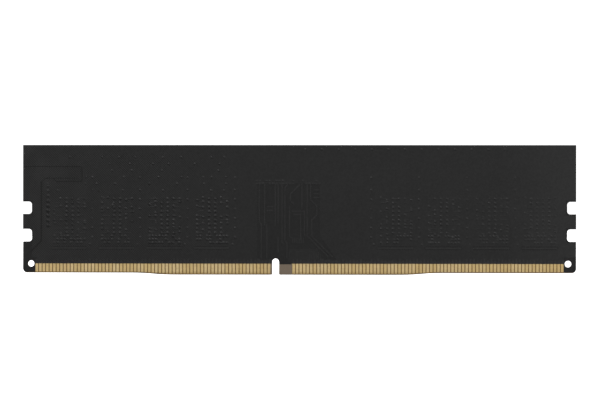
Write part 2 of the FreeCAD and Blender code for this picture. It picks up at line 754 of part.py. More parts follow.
def ball_grid():
    """One package's solder balls: thirteen rows of two blocks of three, each barrel-shaped."""
    pitch, radius, height = size("ball_pitch"), size("ball_radius"), size("ball_height")
    foot = 0.75 * radius
    barrel = [(0, 0), (foot, 0), (radius, height / 3), (radius, 2 * height / 3), (foot, height)]
    barrel.append((0, height))
    corners = [Vector(x, y, 0) for x, y in barrel]
    profile = Part.Face(Part.makePolygon(corners + corners[:1]))
    ball = profile.revolve(Vector(0, 0, 0), Vector(0, 1, 0), 360)
    balls = []
    for row in range(-6, 7):
        for column in (-4, -3, -2, 2, 3, 4):
            copy = ball.copy()
            copy.translate(Vector(column * pitch, 0, row * pitch))
            balls.append(copy)
    return Part.makeCompound(balls)


def package(number):
    """Moulding, die, carrier and solder balls of one memory package."""
    x = chip_centre_expression(number)
    z = "Sizes.chip_centre"
    balls = doc.addObject("Part::Feature", f"memory_{number}_solder_balls")
    balls.Shape = ball_grid()
    balls.Placement = FreeCAD.Placement()
    put(balls, x, FRONT_MASK, z)
    keep(balls, balls.Name)

    carrier = doc.addObject("Part::Box", f"memory_{number}_carrier")
    carrier.setExpression("Length", "Sizes.chip_width")
    carrier.setExpression("Width", "Sizes.carrier_thick")
    carrier.setExpression("Height", "Sizes.chip_height")
    corner_x = f"{x} - Sizes.chip_width / 2"
    corner_z = f"{z} - Sizes.chip_height / 2"
    put(carrier, corner_x, f"{FRONT_MASK} + Sizes.ball_height", corner_z)
    keep(carrier, carrier.Name)

    on_carrier = f"{FRONT_MASK} + Sizes.ball_height + Sizes.carrier_thick"
    die = doc.addObject("Part::Box", f"memory_{number}_die")
    die.setExpression("Length", "Sizes.die_width")
    die.setExpression("Width", "Sizes.die_thick")
    die.setExpression("Height", "Sizes.die_height")
    put(die, f"{x} - Sizes.die_width / 2", on_carrier, f"{z} - Sizes.die_height / 2")
    keep(die, die.Name)

    mould = doc.addObject("PartDesign::Body", f"memory_{number}_mould")
    outline = sketch_on(mould, "outline")
    half_x, half_z = "Sizes.chip_width / 2", "Sizes.chip_height / 2"
    rectangle(outline, f"-{half_x}", f"-{half_z}", half_x, half_z)
    pad(mould, outline, "Sizes.mould_thick")
    doc.recompute()
    seat = sketch_on(mould, "die_seat")
    seat_x, seat_z = "Sizes.die_width / 2", "Sizes.die_height / 2"
    rectangle(seat, f"-{seat_x}", f"-{seat_z}", seat_x, seat_z)
    pocket(mould, seat, "Sizes.die_thick")
    top = size("mould_thick")

    def round_the_top(box):
        return abs(box.YMin - top) < 1e-6 and abs(box.YMax - top) < 1e-6

    dress(mould, "Chamfer", "Sizes.mould_bevel", round_the_top)
    dimple = sketch_on(mould, "first_ball_mark", "Sizes.mould_thick")
    circle(
        dimple,
        f"{half_x} - Sizes.dimple_inset",
        f"{half_z} - Sizes.dimple_inset",
        "Sizes.dimple_radius",
    )
    pocket(mould, dimple, "Sizes.dimple_depth", towards_front=False)
    put(mould, x, on_carrier, z)
    keep(mould, mould.Name)


# -------------------------------------------------------------------------- presence-detect chip
def detect_chip():
    """The small chip that tells the computer what the module is: body, eight leads and solder."""
    near = f"{FRONT_MASK} + Sizes.solder_film"
    leads = []
    lift = front_mask() + size("solder_film")
    half_height = size("detect_height") / 2
    for side in (-1, 1):
        for number in range(4):
            x = size("detect_x") + (number - 1.5) * size("detect_pitch") - size("lead_width") / 2
            z = size("detect_z") + side * half_height
            low = z - size("lead_length") if side > 0 else z
            corner = Vector(x, lift, low)
            leads.append(
                Part.makeBox(size("lead_width"), size("lead_thick"), size("lead_length"), corner)
            )
    item = doc.addObject("Part::Feature", "detect_chip_leads")
    item.Shape = Part.makeCompound(leads)
    block = doc.addObject("Part::Box", "detect_block")
    block.setExpression("Length", "Sizes.detect_width")
    block.setExpression("Width", "Sizes.detect_thick")
    block.setExpression("Height", "Sizes.detect_height")
    put(
        block,
        "Sizes.detect_x - Sizes.detect_width / 2",
        near,
        "Sizes.detect_z - Sizes.detect_height / 2",
    )
    body = doc.addObject("Part::Cut", "detect_chip_body")
    body.Base = block
    body.Tool = item
    keep(body, "detect_chip_body")
    keep(item, "detect_chip_leads")
    solder = []
    for lead in leads:
        box = lead.BoundBox
        foot = Vector(box.XMin, lift - size("solder_film"), box.ZMin)
        solder.append(Part.makeBox(box.XLength, size("solder_film"), box.ZLength, foot))
    return solder


# ---------------------------------------------------------------------------------- passive parts
def chip_gaps():
    """The X midway between neighbouring packages of the same group."""
    centres = chip_centres()
    pairs = list(zip(centres, centres[1:]))
    return [(a + b) / 2 for a, b in pairs if b - a < 2 * size("pitch_plus")]


def bypass_places():
    """Centre and direction of each small capacitor: 'z' stands along Z, 'x' along X."""
    top = size("chip_centre") + size("chip_height") / 2
    places = []
    for x in chip_gaps():
        for z in (8.4, 10.6, 14.2, 16.4):
            places.append((x - 0.9, z, "z"))
            places.append((x + 0.9, z, "z"))
    for x in chip_centres():
        for shift in (-2.4, 0.0, 2.4):
            places.append((x + shift, top + 1.3, "x"))
    for z in (8.0, 9.6, 11.2):
        places.append((size("detect_x") - 3.4, z, "z"))
        places.append((size("detect_x") + 3.4, z, "z"))
    return places


def bulk_places():
    """Centre and direction of each large capacitor."""
    top = size("chip_centre") + size("chip_height") / 2
    places = [(x, top + 4.0, "x") for x in chip_gaps()]
    places += [(size("detect_x") + shift, 21.6, "z") for shift in (-6.0, -3.0, 3.0, 6.0)]
    return places


def array_places():
    """Centre and direction of each resistor array.

    Two data arrays lie under each memory package. A column of termination arrays stands beside the
    outermost package.
    """
    places = []
    for x in chip_centres():
        places += [(x - 1.7, size("array_z"), "x"), (x + 1.7, size("array_z"), "x")]
    low, pitch = size("term_low"), size("term_pitch")
    places += [(size("term_x"), low + n * pitch, "z") for n in range(int(size("term_count")))]
    return places


def on_board(x, z, along, first, last, low, high, span):
    """A box by its reach along the part, across it and up from the board.

    first and last run along the part from its centre, span is across, low and high are above the mask.
    """
    base = front_mask()
    corner = Vector(x + first, base + low, z + span[0])
    reach = (last - first, high - low, span[1] - span[0])
    if along == "z":
        corner = Vector(x + span[0], base + low, z + first)
        reach = (span[1] - span[0], high - low, last - first)
    return Part.makeBox(*reach, corner)


def wedge(x, z, along, end, length, width, height):
    """A solder fillet: a triangular prism that climbs the end face of a part."""
    base = front_mask()
    start = end * length / 2
    tip = end * (length / 2 + size("solder_reach"))
    rise_to = size("solder_film") + height * size("solder_rise")
    profile = [(start, 0.0), (tip, 0.0), (start, rise_to)]
    if along == "x":
        corners = [Vector(x + a, base + b, z - width / 2) for a, b in profile]
        sweep = Vector(0, 0, width)
    else:
        corners = [Vector(x - width / 2, base + b, z + a) for a, b in profile]
        sweep = Vector(width, 0, 0)
    return Part.Face(Part.makePolygon(corners + corners[:1])).extrude(sweep)


def capacitors(name, places, length, width, height):
    """Ceramic blocks with a metal cap over each end, and their solder."""
    film, cap = size("solder_film"), size("cap_reach") * length
    bodies, caps, solder = [], [], []
    inset, fillet = size("ceramic_inset"), size("fillet_share")
    across = (-width / 2, width / 2)
    inner = (-width / 2 + inset, width / 2 - inset)
    for x, z, along in places:
        half = length / 2
        low, high = film + inset, film + height - inset
        bodies.append(on_board(x, z, along, -half + cap, half - cap, low, high, inner))
        for end in (-1, 1):
            first, last = sorted((end * half, end * (half - cap)))
            caps.append(on_board(x, z, along, first, last, film, film + height, across))
            solder.append(on_board(x, z, along, first, last, 0.0, film, across))
            solder.append(wedge(x, z, along, end, length, width * fillet, height))
    add_group(f"{name}_ceramics", bodies)
    add_group(f"{name}_end_caps", caps)
    return solder


def resistor_arrays(name, places, length, width, height):
    """Four resistors in one ceramic slab: slab, dark glaze and eight side terminals."""
    film, reach = size("solder_film"), size("terminal_reach")
    skin, glaze_inset = size("terminal_thick"), size("glaze_inset")
    half_terminal = size("terminal_width") / 2
    slabs, glazes, terminals, solder = [], [], [], []
    for x, z, along in places:
        low, high = film, film + height
        slab_span = (-width / 2 + skin, width / 2 - skin)
        glaze_span = (-width / 2 + reach, width / 2 - reach)
        half = length / 2
        slabs.append(on_board(x, z, along, -half, half, low + skin, high - skin, slab_span))
        glazed = half - glaze_inset
        glazes.append(on_board(x, z, along, -glazed, glazed, high - skin, high, glaze_span))
        pitch = length / 4
        for number in range(4):
            middle = (number - 1.5) * pitch
            first, last = middle - half_terminal, middle + half_terminal
            for side in (-1, 1):
                outer = side * width / 2
                wall = sorted((outer, side * (width / 2 - skin)))
                shelf = sorted((side * (width / 2 - skin), side * (width / 2 - reach)))
                upright = on_board(x, z, along, first, last, low, high, wall)
                over = on_board(x, z, along, first, last, high - skin, high, shelf)
                under = on_board(x, z, along, first, last, low, low + skin, shelf)
                terminals.append(upright.fuse([over, under]).removeSplitter())
                both = (min(wall + shelf), max(wall + shelf))
                solder.append(on_board(x, z, along, first, last, 0.0, film, both))
    add_group(f"{name}_slabs", slabs)
    add_group(f"{name}_glazes", glazes)
    add_group(f"{name}_terminals", terminals)
    return solder


def add_group(label, solids):
    """Identical small pieces share one sub-part, as separate solids."""
    item = doc.addObject("Part::Feature", label)
    item.Shape = Part.makeCompound(solids)
    return keep(item, label)


def passives():
    """Capacitors and resistor arrays on the front face, and the solder under all of them."""
    bypass = [size(f"bypass_{word}") for word in ("length", "width", "height")]
    bulk = [size(f"bulk_{word}") for word in ("length", "width", "height")]
    array = [size(f"array_{word}") for word in ("length", "width", "height")]
    solder = capacitors("bypass_capacitor", bypass_places(), *bypass)
    solder += capacitors("bulk_capacitor", bulk_places(), *bulk)
    solder += resistor_arrays("resistor_array", array_places(), *array)
    return solder


# ---------------------------------------------------------------------------------------- writing
def check_and_write():
    """Stops on any failed object, then writes one STEP file for each sub-part."""
    doc.recompute()
    for item in doc.Objects:
        if "Invalid" in item.State or "Error" in item.State:
            raise RuntimeError(f"{item.Label} failed: {item.State}")
    os.makedirs("parts", exist_ok=True)
    for old in os.listdir("parts"):
        os.remove(os.path.join("parts", old))
    for item in SUB_PARTS:
        shape = item.Shape
        if shape.isNull() or not shape.isValid() or not shape.Solids:
            raise RuntimeError(f"{item.Label} has no valid solid")
        solids = shape.Solids
        shape = solids[0] if len(solids) == 1 else Part.makeCompound(solids)
        shape.exportStep(os.path.join("parts", f"{item.Label}.step"))
        print(f"{item.Label:34s} {len(solids):4d} solids {shape.Volume:10.3f} mm3")
    print(len(SUB_PARTS), "sub-parts")


laminate()
back_necks, front_necks = contact_rows()
solder_masks(back_copper() + [back_necks], [front_necks])
for chip in range(1, 9):
    package(chip)
add_group("surface_mount_solder", detect_chip() + passives())
check_and_write()
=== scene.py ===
"""The looks of a memory module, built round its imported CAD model.

The row frame has X along the board, Y through it and Z up from the card edge. The back face, which
the camera sees, looks towards -Y; the memory packages stand on the front, towards +Y. Lengths in this
file are in millimetres until a mesh is made or a shader is set, and MM turns them into metres.
"""

import math
import random

import bmesh
import bpy
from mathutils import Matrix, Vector


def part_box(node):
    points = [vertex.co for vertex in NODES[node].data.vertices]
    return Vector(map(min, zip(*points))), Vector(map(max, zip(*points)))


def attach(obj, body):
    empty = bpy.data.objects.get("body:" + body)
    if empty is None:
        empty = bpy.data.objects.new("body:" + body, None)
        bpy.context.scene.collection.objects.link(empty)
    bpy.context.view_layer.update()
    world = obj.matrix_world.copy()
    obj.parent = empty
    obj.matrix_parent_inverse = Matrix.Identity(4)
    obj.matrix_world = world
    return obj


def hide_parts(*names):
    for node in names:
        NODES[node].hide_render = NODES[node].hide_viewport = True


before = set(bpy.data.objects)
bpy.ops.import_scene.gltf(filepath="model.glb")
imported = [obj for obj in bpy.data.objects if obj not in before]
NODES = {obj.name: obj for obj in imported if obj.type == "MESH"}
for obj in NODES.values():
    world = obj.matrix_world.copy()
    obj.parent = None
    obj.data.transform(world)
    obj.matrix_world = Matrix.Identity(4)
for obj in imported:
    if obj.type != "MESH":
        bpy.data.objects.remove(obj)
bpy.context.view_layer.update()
MM = 0.001


# -------------------------------------------------------------------------------- sizes from CAD
def span(node):
    """Lowest and highest corner of a CAD node, in millimetres."""
    low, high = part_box(node)
    return low / MM, high / MM


BOARD_CORNER = span("laminate_middle")[1]
HALF_LENGTH = BOARD_CORNER.x
BOARD_TOP = BOARD_CORNER.z
BACK_FACE = span("laminate_back")[0].y
MASK_BACK = span("solder_mask_back")[0].y
MASK_FRONT = span("solder_mask_front")[1].y
CONTACT_TOP = span("contacts_back_plus")[1].z
END_PIN = 3.35  # board end to the middle of the outermost contact
PITCH = 0.85
PINS_SHORT, PINS_LONG = 67, 77
PATCH_LEFT, PATCH_RIGHT = span("contacts_back_minus")[1].x, span("contacts_back_plus")[0].x
PATCH_MIDDLE = (PATCH_LEFT + PATCH_RIGHT) / 2
PATCH_HALF = (PATCH_RIGHT - PATCH_LEFT) / 2 - 0.1
CHIP_SPANS = [span(f"memory_{number}_mould") for number in range(1, 9)]
CHIPS = [(low + high) / 2 for low, high in CHIP_SPANS]
CHIP_LOW = CHIP_SPANS[0][0].z

# Levels of the back's relief, from the laminate outwards.
OVER_LAMINATE = BACK_FACE - 0.012
OVER_COPPER = BACK_FACE - 0.038
OVER_TRACE = OVER_COPPER - 0.014
OVER_VIA = MASK_BACK
IN_GAP = OVER_LAMINATE - 0.006
SAME_POINT = 5e-7  # metres within which two corners of a mesh are one


# ------------------------------------------------------------------------------ shader functions
class Shader:
    """A node material with one Principled shader and short ways to add nodes to it."""

    def __init__(self, name, **fixed):
        self.material = bpy.data.materials.new(name)
        self.material.use_nodes = True
        self.tree = self.material.node_tree
        self.surface = self.tree.nodes["Principled BSDF"]
        for socket, value in fixed.items():
            self.surface.inputs[socket.replace("_", " ")].default_value = value
        self.place = self.node("ShaderNodeTexCoord").outputs["Object"]

    def node(self, kind, **settings):
        node = self.tree.nodes.new(kind)
        for key, value in settings.items():
            setattr(node, key, value)
        return node

    def link(self, source, socket):
        """Joins an output to a socket, or writes a plain value there."""
        if isinstance(source, bpy.types.NodeSocket):
            self.tree.links.new(source, socket)
        else:
            socket.default_value = source

    def math(self, operation, first, second=0.0, clamp=False):
        node = self.node("ShaderNodeMath", operation=operation, use_clamp=clamp)
        for value, socket in zip((first, second), node.inputs):
            self.link(value, socket)
        return node.outputs[0]

    def axes(self):
        node = self.node("ShaderNodeSeparateXYZ")
        self.link(self.place, node.inputs[0])
        return node.outputs

    def stretched(self, x=1.0, y=1.0, z=1.0):
        """Object coordinates, scaled on each axis."""
        node = self.node("ShaderNodeMapping")
        self.link(self.place, node.inputs["Vector"])
        node.inputs["Scale"].default_value = (x, y, z)
        return node.outputs[0]

    def noise(self, grain_mm, detail=2.0, rough=0.5, place=None):
        """Noise whose main grain is that many millimetres across."""
        node = self.node("ShaderNodeTexNoise")
        self.link(place or self.place, node.inputs["Vector"])
        node.inputs["Scale"].default_value = 1.0 / (grain_mm * MM)
        node.inputs["Detail"].default_value = detail
        node.inputs["Roughness"].default_value = rough
        return node.outputs["Fac"]

    def cells(self, grain_mm):
        """Distance to the nearest of scattered points that many millimetres apart."""
        node = self.node("ShaderNodeTexVoronoi", feature="F1")
        self.link(self.place, node.inputs["Vector"])
        node.inputs["Scale"].default_value = 1.0 / (grain_mm * MM)
        return node.outputs["Distance"]

    def ramp(self, source, low, high, start=0.0, end=1.0, smooth=True):
        """Runs from start to end while the source runs from low to high."""
        node = self.node("ShaderNodeMapRange")
        node.interpolation_type = "SMOOTHSTEP" if smooth else "LINEAR"
        for value, socket in zip((source, low, high, start, end), node.inputs):
            self.link(value, socket)
        return node.outputs[0]

    def mix(self, share, first, second):
        """A colour between two, given as sockets or as linear values."""
        node = self.node("ShaderNodeMix", data_type="RGBA")
        self.link(share, node.inputs["Factor"])
        for value, socket in ((first, node.inputs[6]), (second, node.inputs[7])):
            self.link(value if isinstance(value, bpy.types.NodeSocket) else (*value, 1.0), socket)
        return node.outputs[2]

    def colour(self, value):
        value = value if isinstance(value, bpy.types.NodeSocket) else (*value, 1.0)
        self.link(value, self.surface.inputs["Base Color"])

    def roughness(self, value):
        self.link(value, self.surface.inputs["Roughness"])

    def bump(self, height, depth_mm, strength=1.0):
        """Adds relief below what geometry carries; several calls stack up."""
        node = self.node("ShaderNodeBump")
        node.inputs["Strength"].default_value = strength
        node.inputs["Distance"].default_value = depth_mm * MM
        self.link(height, node.inputs["Height"])
        before = self.surface.inputs["Normal"].links
        if before:
            self.link(before[0].from_socket, node.inputs["Normal"])
        self.link(node.outputs[0], self.surface.inputs["Normal"])


def linear(red, green, blue):
    """A colour given as 0 to 255 screen values, in the renderer's linear light."""
    values = []
    for value in (red, green, blue):
        share = value / 255
        values.append(share / 12.92 if share <= 0.04045 else ((share + 0.055) / 1.055) ** 2.4)
    return tuple(values)


def tinted(colour, factor):
    """The colour made lighter or darker."""
    return tuple(value * factor for value in colour)


# ------------------------------------------------------------------------------------- materials
MASK_BASE = linear(22, 22, 22)
MESH_PERIOD = 0.557  # of the cross-hatched copper under the mask, along X and along Z
MESH_FROM, MESH_TO = -62.0, -10.0  # X from full strength to none
CLOTH_PERIOD = 0.42  # of the glass cloth
PLY_PERIOD = 0.11


def mask_material(name, base, gloss, shine=0.3, mesh=0.0):
    """Satin black solder mask.

    mesh is how much of the cross-hatched copper shows through it near the -X end. Where it is set,
    the mask is also painted lighter towards both ends of the board, and a little darker between, as
    sheen.
    """
    shader = Shader(name, IOR=1.5, Specular_IOR_Level=shine)
    x, _, z = shader.axes()
    blotch = shader.noise(9.0, detail=3.0)
    speck = shader.noise(0.5, detail=2.0)
    fine = shader.noise(0.22, detail=2.0)
    share = shader.ramp(blotch, 0.3, 0.7, 0.47, 0.53)
    share = shader.math("ADD", share, shader.ramp(speck, 0.3, 0.7, -0.1, 0.1))
    if mesh:
        away = shader.math("ABSOLUTE", x)
        # Painted sheen: the mask lighter towards both ends of the board and a little darker between.
        ends = shader.ramp(away, 0.7 * HALF_LENGTH * MM, HALF_LENGTH * MM, -0.06, 0.2)
        share = shader.math("ADD", share, ends)
        turns = 2 * math.pi / (MESH_PERIOD * MM)
        falling = shader.math("SINE", shader.math("MULTIPLY", shader.math("ADD", x, z), turns))
        rising = shader.math("SINE", shader.math("MULTIPLY", shader.math("SUBTRACT", x, z), turns))
        patch = shader.noise(4.5, detail=1.0)
        falling = shader.math("MULTIPLY", falling, shader.ramp(patch, 0.35, 0.65, 0.35, 0.75))
        rising = shader.math("MULTIPLY", rising, shader.ramp(patch, 0.35, 0.65, 0.55, 0.2))
        weave = shader.math("ADD", falling, rising)
        strength = shader.ramp(x, MESH_FROM * MM, MESH_TO * MM, mesh, 0.0, smooth=False)
        weave = shader.math("MULTIPLY", weave, strength)
        share = shader.math("ADD", share, shader.math("MULTIPLY", weave, 0.6), clamp=True)
        shader.bump(weave, 0.006)
    shader.colour(shader.mix(share, (0.0, 0.0, 0.0), tinted(base, 2.0)))
    rough = shader.ramp(fine, 0.3, 0.7, gloss, gloss + 0.08)
    if mesh:
        rough = shader.math("ADD", rough, shader.math("MULTIPLY", weave, 0.05))
    shader.roughness(rough)
    shader.bump(fine, 0.0022)
    shader.bump(shader.noise(1.6), 0.004)
    return shader.material


def laminate_material():
    """Bare glass-epoxy: warm grey with the weave of the glass cloth, plies at its edges, and amber
    painted between the contacts as the gold's bounced light and the shade between them.
    """
    shader = Shader("glass_epoxy", IOR=1.55)
    x, y, z = shader.axes()
    turns = 2 * math.pi / (CLOTH_PERIOD * MM)
    warp = shader.math("SINE", shader.math("MULTIPLY", x, turns))
    weft = shader.math("SINE", shader.math("MULTIPLY", z, turns))
    cloth = shader.math("MULTIPLY", warp, weft)
    plies = shader.math("SINE", shader.math("MULTIPLY", y, 2 * math.pi / (PLY_PERIOD * MM)))
    base, pale, amber = linear(108, 93, 78), linear(135, 119, 95), linear(112, 83, 28)
    colour = shader.mix(shader.ramp(cloth, -1.0, 1.0, 0.0, 0.5), base, pale)
    colour = shader.mix(shader.ramp(plies, 0.2, 1.0, 0.0, 0.35), colour, tinted(base, 0.55))
    speckle = shader.noise(0.09, detail=3.0)
    colour = shader.mix(shader.ramp(speckle, 0.45, 0.75, 0.0, 0.4), colour, tinted(pale, 1.25))
    # Painted light and shade: amber between the contacts stands for light bounced off the gold and
    # the shade between them.
    gold_bounce_share = shader.ramp(z, CONTACT_TOP * MM, (CONTACT_TOP + 0.1) * MM, 1.0, 0.0)
    patch = shader.math("ABSOLUTE", shader.math("SUBTRACT", x, PATCH_MIDDLE * MM))
    patch = shader.ramp(patch, PATCH_HALF * MM, (PATCH_HALF + 0.1) * MM)
    away = shader.math("ABSOLUTE", x)
    rows = shader.ramp(away, (HALF_LENGTH - 3.0) * MM, (HALF_LENGTH - 2.9) * MM, 1.0, 0.0)
    gold_bounce_share = shader.math("MULTIPLY", gold_bounce_share, rows)
    colour = shader.mix(shader.math("MULTIPLY", gold_bounce_share, patch), colour, amber)
    shader.colour(colour)
    shader.roughness(shader.ramp(speckle, 0.3, 0.7, 0.5, 0.72))
    shader.bump(cloth, 0.003)
    shader.bump(speckle, 0.004)
    return shader.material


def gold_material():
    """Hard gold over nickel: soft mottling, fine wiping marks along the contact, duller at its lower
    end, and painted darker towards +X as painted shade.
    """
    shader = Shader("hard_gold", Metallic=1.0)
    x, _, z = shader.axes()
    wiped = shader.noise(0.05, detail=3.0, place=shader.stretched(1.0, 1.0, 0.06))
    mottle = shader.noise(0.6, detail=2.0)
    each = shader.noise(1.7, detail=0.0, place=shader.stretched(1.0, 1.0, 0.0))
    gold, pale, dull = linear(216, 190, 135), linear(224, 201, 152), linear(168, 141, 92)
    colour = shader.mix(shader.ramp(each, 0.3, 0.7), gold, pale)
    colour = shader.mix(shader.ramp(mottle, 0.5, 0.8, 0.0, 0.3), colour, dull)
    colour = shader.mix(shader.ramp(wiped, 0.55, 0.75, 0.0, 0.3), colour, pale)
    foot = shader.ramp(z, 0.35 * MM, 0.9 * MM, 0.45, 0.0)
    colour = shader.mix(foot, colour, dull)
    # Painted shade: the contacts darken towards +X, as the light falls off there.
    falloff_shade = shader.ramp(x, -HALF_LENGTH * MM, HALF_LENGTH * MM, 0.0, 0.4, smooth=False)
    colour = shader.mix(falloff_shade, colour, dull)
    shader.colour(colour)
    shader.roughness(shader.ramp(wiped, 0.3, 0.7, 0.3, 0.46))
    shader.bump(wiped, 0.0012)
    return shader.material


def copper_material():
    """Bare copper, stained in large patches."""
    shader = Shader("bare_copper", Metallic=1.0)
    grain = shader.noise(0.12, detail=3.0)
    stain = shader.noise(3.0, detail=3.0)
    colour = shader.mix(
        shader.ramp(stain, 0.35, 0.65), linear(196, 122, 88), linear(150, 88, 62)
    )
    shader.colour(colour)
    shader.roughness(shader.ramp(grain, 0.3, 0.7, 0.3, 0.5))
    shader.bump(grain, 0.002)
    return shader.material


def mould_material():
    """Epoxy moulding compound: matte near-black with pale filler specks and faint tool marks."""
    shader = Shader("moulding_compound", IOR=1.5)
    filler = shader.cells(0.075)
    cloud = shader.noise(2.2, detail=3.0)
    tool = shader.noise(0.05, detail=2.0, place=shader.stretched(0.05, 1.0, 1.0))
    base = shader.mix(shader.ramp(cloud, 0.3, 0.7), linear(33, 33, 34), linear(44, 44, 46))
    specks = shader.ramp(filler, 0.0, 0.16, 0.35, 0.0)
    shader.colour(shader.mix(specks, base, linear(96, 96, 98)))
    shader.roughness(shader.ramp(cloud, 0.3, 0.7, 0.5, 0.64))
    shader.bump(filler, 0.003)
    shader.bump(tool, 0.0015)
    return shader.material


def carrier_material():
    """The package's own small board, seen at its edge: dark green-black with a copper line."""
    shader = Shader("package_carrier", IOR=1.5)
    _, y, _ = shader.axes()
    grain = shader.noise(0.08, detail=3.0)
    low, high = span("memory_1_carrier")
    middle = (low.y + high.y) / 2 * MM
    away = shader.math("ABSOLUTE", shader.math("SUBTRACT", y, middle))
    line = shader.ramp(away, 0.012 * MM, 0.02 * MM, 1.0, 0.0)
    colour = shader.mix(shader.ramp(grain, 0.3, 0.7), linear(38, 46, 34), linear(58, 66, 48))
    shader.colour(shader.mix(line, colour, linear(138, 96, 60)))
    shader.roughness(shader.ramp(grain, 0.3, 0.7, 0.42, 0.6))
    shader.bump(grain, 0.003)
    return shader.material


def silicon_material():
    """Ground silicon with fine marks along Z."""
    shader = Shader("silicon", Metallic=0.6)
    grain = shader.noise(0.02, detail=2.0, place=shader.stretched(1.0, 1.0, 0.05))
    shader.colour(shader.mix(grain, linear(92, 94, 102), linear(120, 122, 132)))
    shader.roughness(shader.ramp(grain, 0.3, 0.7, 0.12, 0.25))
    shader.bump(grain, 0.0008)
    return shader.material


def metal_material(name, bright, dull, rough, grain_mm):
    """Solder or tin: bright metal, dulled in patches, with a fine dimpled skin."""
    shader = Shader(name, Metallic=1.0)
    grain = shader.noise(grain_mm, detail=3.0)
    patch = shader.noise(grain_mm * 5, detail=2.0)
    shader.colour(shader.mix(shader.ramp(patch, 0.35, 0.65), bright, dull))
    shader.roughness(shader.ramp(grain, 0.3, 0.7, rough, rough + 0.16))
    shader.bump(grain, grain_mm * 0.05)
    return shader.material


def ceramic_material(name, light, dark, rough, grain_mm=0.06):
    """Fired ceramic: fine grain, slight clouding."""
    shader = Shader(name, IOR=1.6)
    grain = shader.noise(grain_mm, detail=4.0, rough=0.6)
    cloud = shader.noise(0.7, detail=2.0)
    colour = shader.mix(shader.ramp(cloud, 0.35, 0.65), light, dark)
    colour = shader.mix(shader.ramp(grain, 0.5, 0.8, 0.0, 0.5), colour, tinted(dark, 0.7))
    shader.colour(colour)
    shader.roughness(shader.ramp(grain, 0.3, 0.7, rough, rough + 0.15))
    shader.bump(grain, grain_mm * 0.06)
    return shader.material


MASK_HIGH = mask_material("solder_mask_over_copper", MASK_BASE, 0.38, shine=0.26, mesh=1.9)
# Paler mask for the shoulders of vias: partly the thinner mask over their rims, partly a painted
# highlight.
MASK_RIM_AND_HIGHLIGHT = mask_material("solder_mask_thin_rim_and_highlight", tinted(MASK_BASE, 1.4), 0.36, shine=0.28)
# Darker mask over bare laminate, also put in the dimples of vias as painted shade.
MASK_LOW_AND_DIMPLE_SHADE = mask_material("solder_mask_over_laminate_and_dimple_shade", tinted(MASK_BASE, 0.82), 0.4, shine=0.226)
MASK_TRACE = mask_material("solder_mask_over_trace", tinted(MASK_BASE, 1.2), 0.365, shine=0.292)
# Darker mask for the gaps and slots: painted shade of those recesses.
MASK_GAP_SHADE = mask_material("solder_mask_gap_shade", tinted(MASK_BASE, 0.7), 0.47, shine=0.205)
LAMINATE = laminate_material()
GOLD = gold_material()
COPPER = copper_material()
MOULD = mould_material()
CARRIER = carrier_material()
SILICON = silicon_material()
SOLDER = metal_material("solder", linear(196, 197, 200), linear(160, 161, 164), 0.24, 0.05)
TIN = metal_material("tinned_terminal", linear(204, 204, 206), linear(172, 171, 170), 0.3, 0.04)
CAPACITOR = ceramic_material("capacitor_ceramic", linear(158, 134, 108), linear(134, 111, 88), 0.5)
ALUMINA = ceramic_material("alumina", linear(226, 226, 222), linear(206, 206, 202), 0.45)
GLAZE = ceramic_material("resistor_glaze", linear(28, 28, 30), linear(20, 20, 22), 0.16, 0.1)


# ------------------------------------------------------------------------------- piece functions
def new_piece(name, mesh, materials, replaced=()):
    """A mesh object that rides on the board and takes the given materials."""
    piece = bpy.data.objects.new(name, mesh)
    bpy.context.scene.collection.objects.link(piece)
    for material in materials:
        mesh.materials.append(material)
    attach(piece, "root")
    if replaced:
        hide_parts(*replaced)
    return piece


class Shells:
    """Closed shells gathered into one mesh. Points are in millimetres."""

    def __init__(self):
        self.points = []
        self.faces = []
        self.shades = []
        self.normals = []

    def loft(self, rings, shades, normals):
        """Joins equal rings of points in order, and closes the first and the last.

        shades gives each band between two rings the number of its material, and normals gives each
        point the direction it is shaded in.
        """
        start, count = len(self.points), len(rings[0])
        for ring in rings:
            self.points += [tuple(value * MM for value in point) for point in ring]
        for ring in normals:
            self.normals += [tuple(normal) for normal in ring]
        for level in range(len(rings) - 1):
            here, above = start + level * count, start + (level + 1) * count
            for corner in range(count):
                following = (corner + 1) % count
                face = (here + corner, here + following, above + following, above + corner)
                self.faces.append(face)
            self.shades += [shades[level]] * count
        self.faces.append(tuple(range(start + count - 1, start - 1, -1)))
        last = start + (len(rings) - 1) * count
        self.faces.append(tuple(range(last, last + count)))
        self.shades += [shades[0], shades[-1]]

    def mesh(self, name):
        mesh = bpy.data.meshes.new(name)
        mesh.from_pydata(self.points, [], self.faces)
        for face, shade in zip(mesh.polygons, self.shades):
            face.material_index = shade
        outward(mesh)
        mesh.shade_smooth()
        mesh.normals_split_custom_set_from_vertices(self.normals)
        return mesh


def outward(mesh):
    """Turns every face of the mesh outwards."""
    shape = bmesh.new()
    shape.from_mesh(mesh)
    bmesh.ops.recalc_face_normals(shape, faces=shape.faces)
    shape.to_mesh(mesh)
    shape.free()


def tidy(mesh, crease):
    """Outward normals, and smooth shading up to the crease angle."""
    outward(mesh)
    mesh.shade_smooth()
    mesh.set_sharp_from_angle(angle=crease)
    for face in mesh.polygons:
        face.use_smooth = abs(face.normal.y) < 0.999


